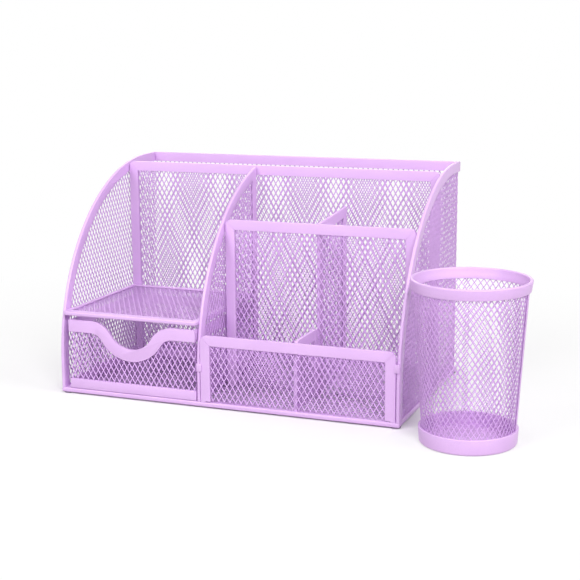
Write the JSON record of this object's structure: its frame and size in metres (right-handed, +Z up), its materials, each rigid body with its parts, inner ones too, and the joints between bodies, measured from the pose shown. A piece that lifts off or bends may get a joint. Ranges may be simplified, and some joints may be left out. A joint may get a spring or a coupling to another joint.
{
  "type": "desk organizer with drawer and pen cup",
  "caption": "Steel mesh desk organizer with letter slot, shelf, pen and clip cells, a sliding drawer with a scooped front, and a loose round pen cup.",
  "frame": {"origin": "middle of the footprint of the organizer and the cup that stands beside it, on the surface they stand on", "axes": "+X to the right along the front, +Y towards the back panel, +Z up"},
  "size_m": [0.2958, 0.172, 0.14],
  "materials": {
    "coated_edging": "satin lilac powder coat on folded sheet steel",
    "coated_mesh": "satin lilac powder coat on expanded steel mesh",
    "foot_pad": "matt soft pad"
  },
  "bodies": {
    "organizer": {"base_edging": "coated_edging", "floor_mesh": "coated_mesh", "foot_pads": "foot_pad", "left_side_edging": "coated_edging", "left_side_mesh": "coated_mesh", "right_side_edging": "coated_edging", "right_side_mesh": "coated_mesh", "back_edging": "coated_edging", "back_mesh": "coated_mesh", "bay_wall_edging": "coated_edging", "bay_wall_mesh": "coated_mesh", "letter_wall_edging": "coated_edging", "letter_wall_mesh": "coated_mesh", "pen_wall_edging": "coated_edging", "pen_wall_mesh": "coated_mesh", "front_wall_edging": "coated_edging", "front_wall_mesh": "coated_mesh", "joining_tabs": "coated_edging", "pen_divider_edging": "coated_edging", "pen_divider_mesh": "coated_mesh", "clip_divider_edging": "coated_edging", "clip_divider_mesh": "coated_mesh", "shelf_edging": "coated_edging", "shelf_mesh": "coated_mesh"},
    "drawer": {"drawer_front_rim": "coated_edging", "drawer_front_mesh": "coated_mesh", "drawer_left_rim": "coated_edging", "drawer_left_mesh": "coated_mesh", "drawer_right_rim": "coated_edging", "drawer_right_mesh": "coated_mesh", "drawer_back_rim": "coated_edging", "drawer_back_mesh": "coated_mesh", "drawer_base_band": "coated_edging", "drawer_floor_mesh": "coated_mesh"},
    "pen_cup": {"cup_rim": "coated_edging", "cup_mesh": "coated_mesh", "cup_base_pan": "coated_edging", "cup_seam_strips": "coated_edging"}
  },
  "joints": [
    {"name": "drawer_slide", "type": "slide", "parent": "organizer", "child": "drawer", "axis": [0, -1, 0], "range_m": [0, 0.08]},
    {"name": "cup_lift", "type": "slide", "parent": "organizer", "child": "pen_cup", "axis": [0, 0, 1], "range_m": [0, 0.15]}
  ]
}
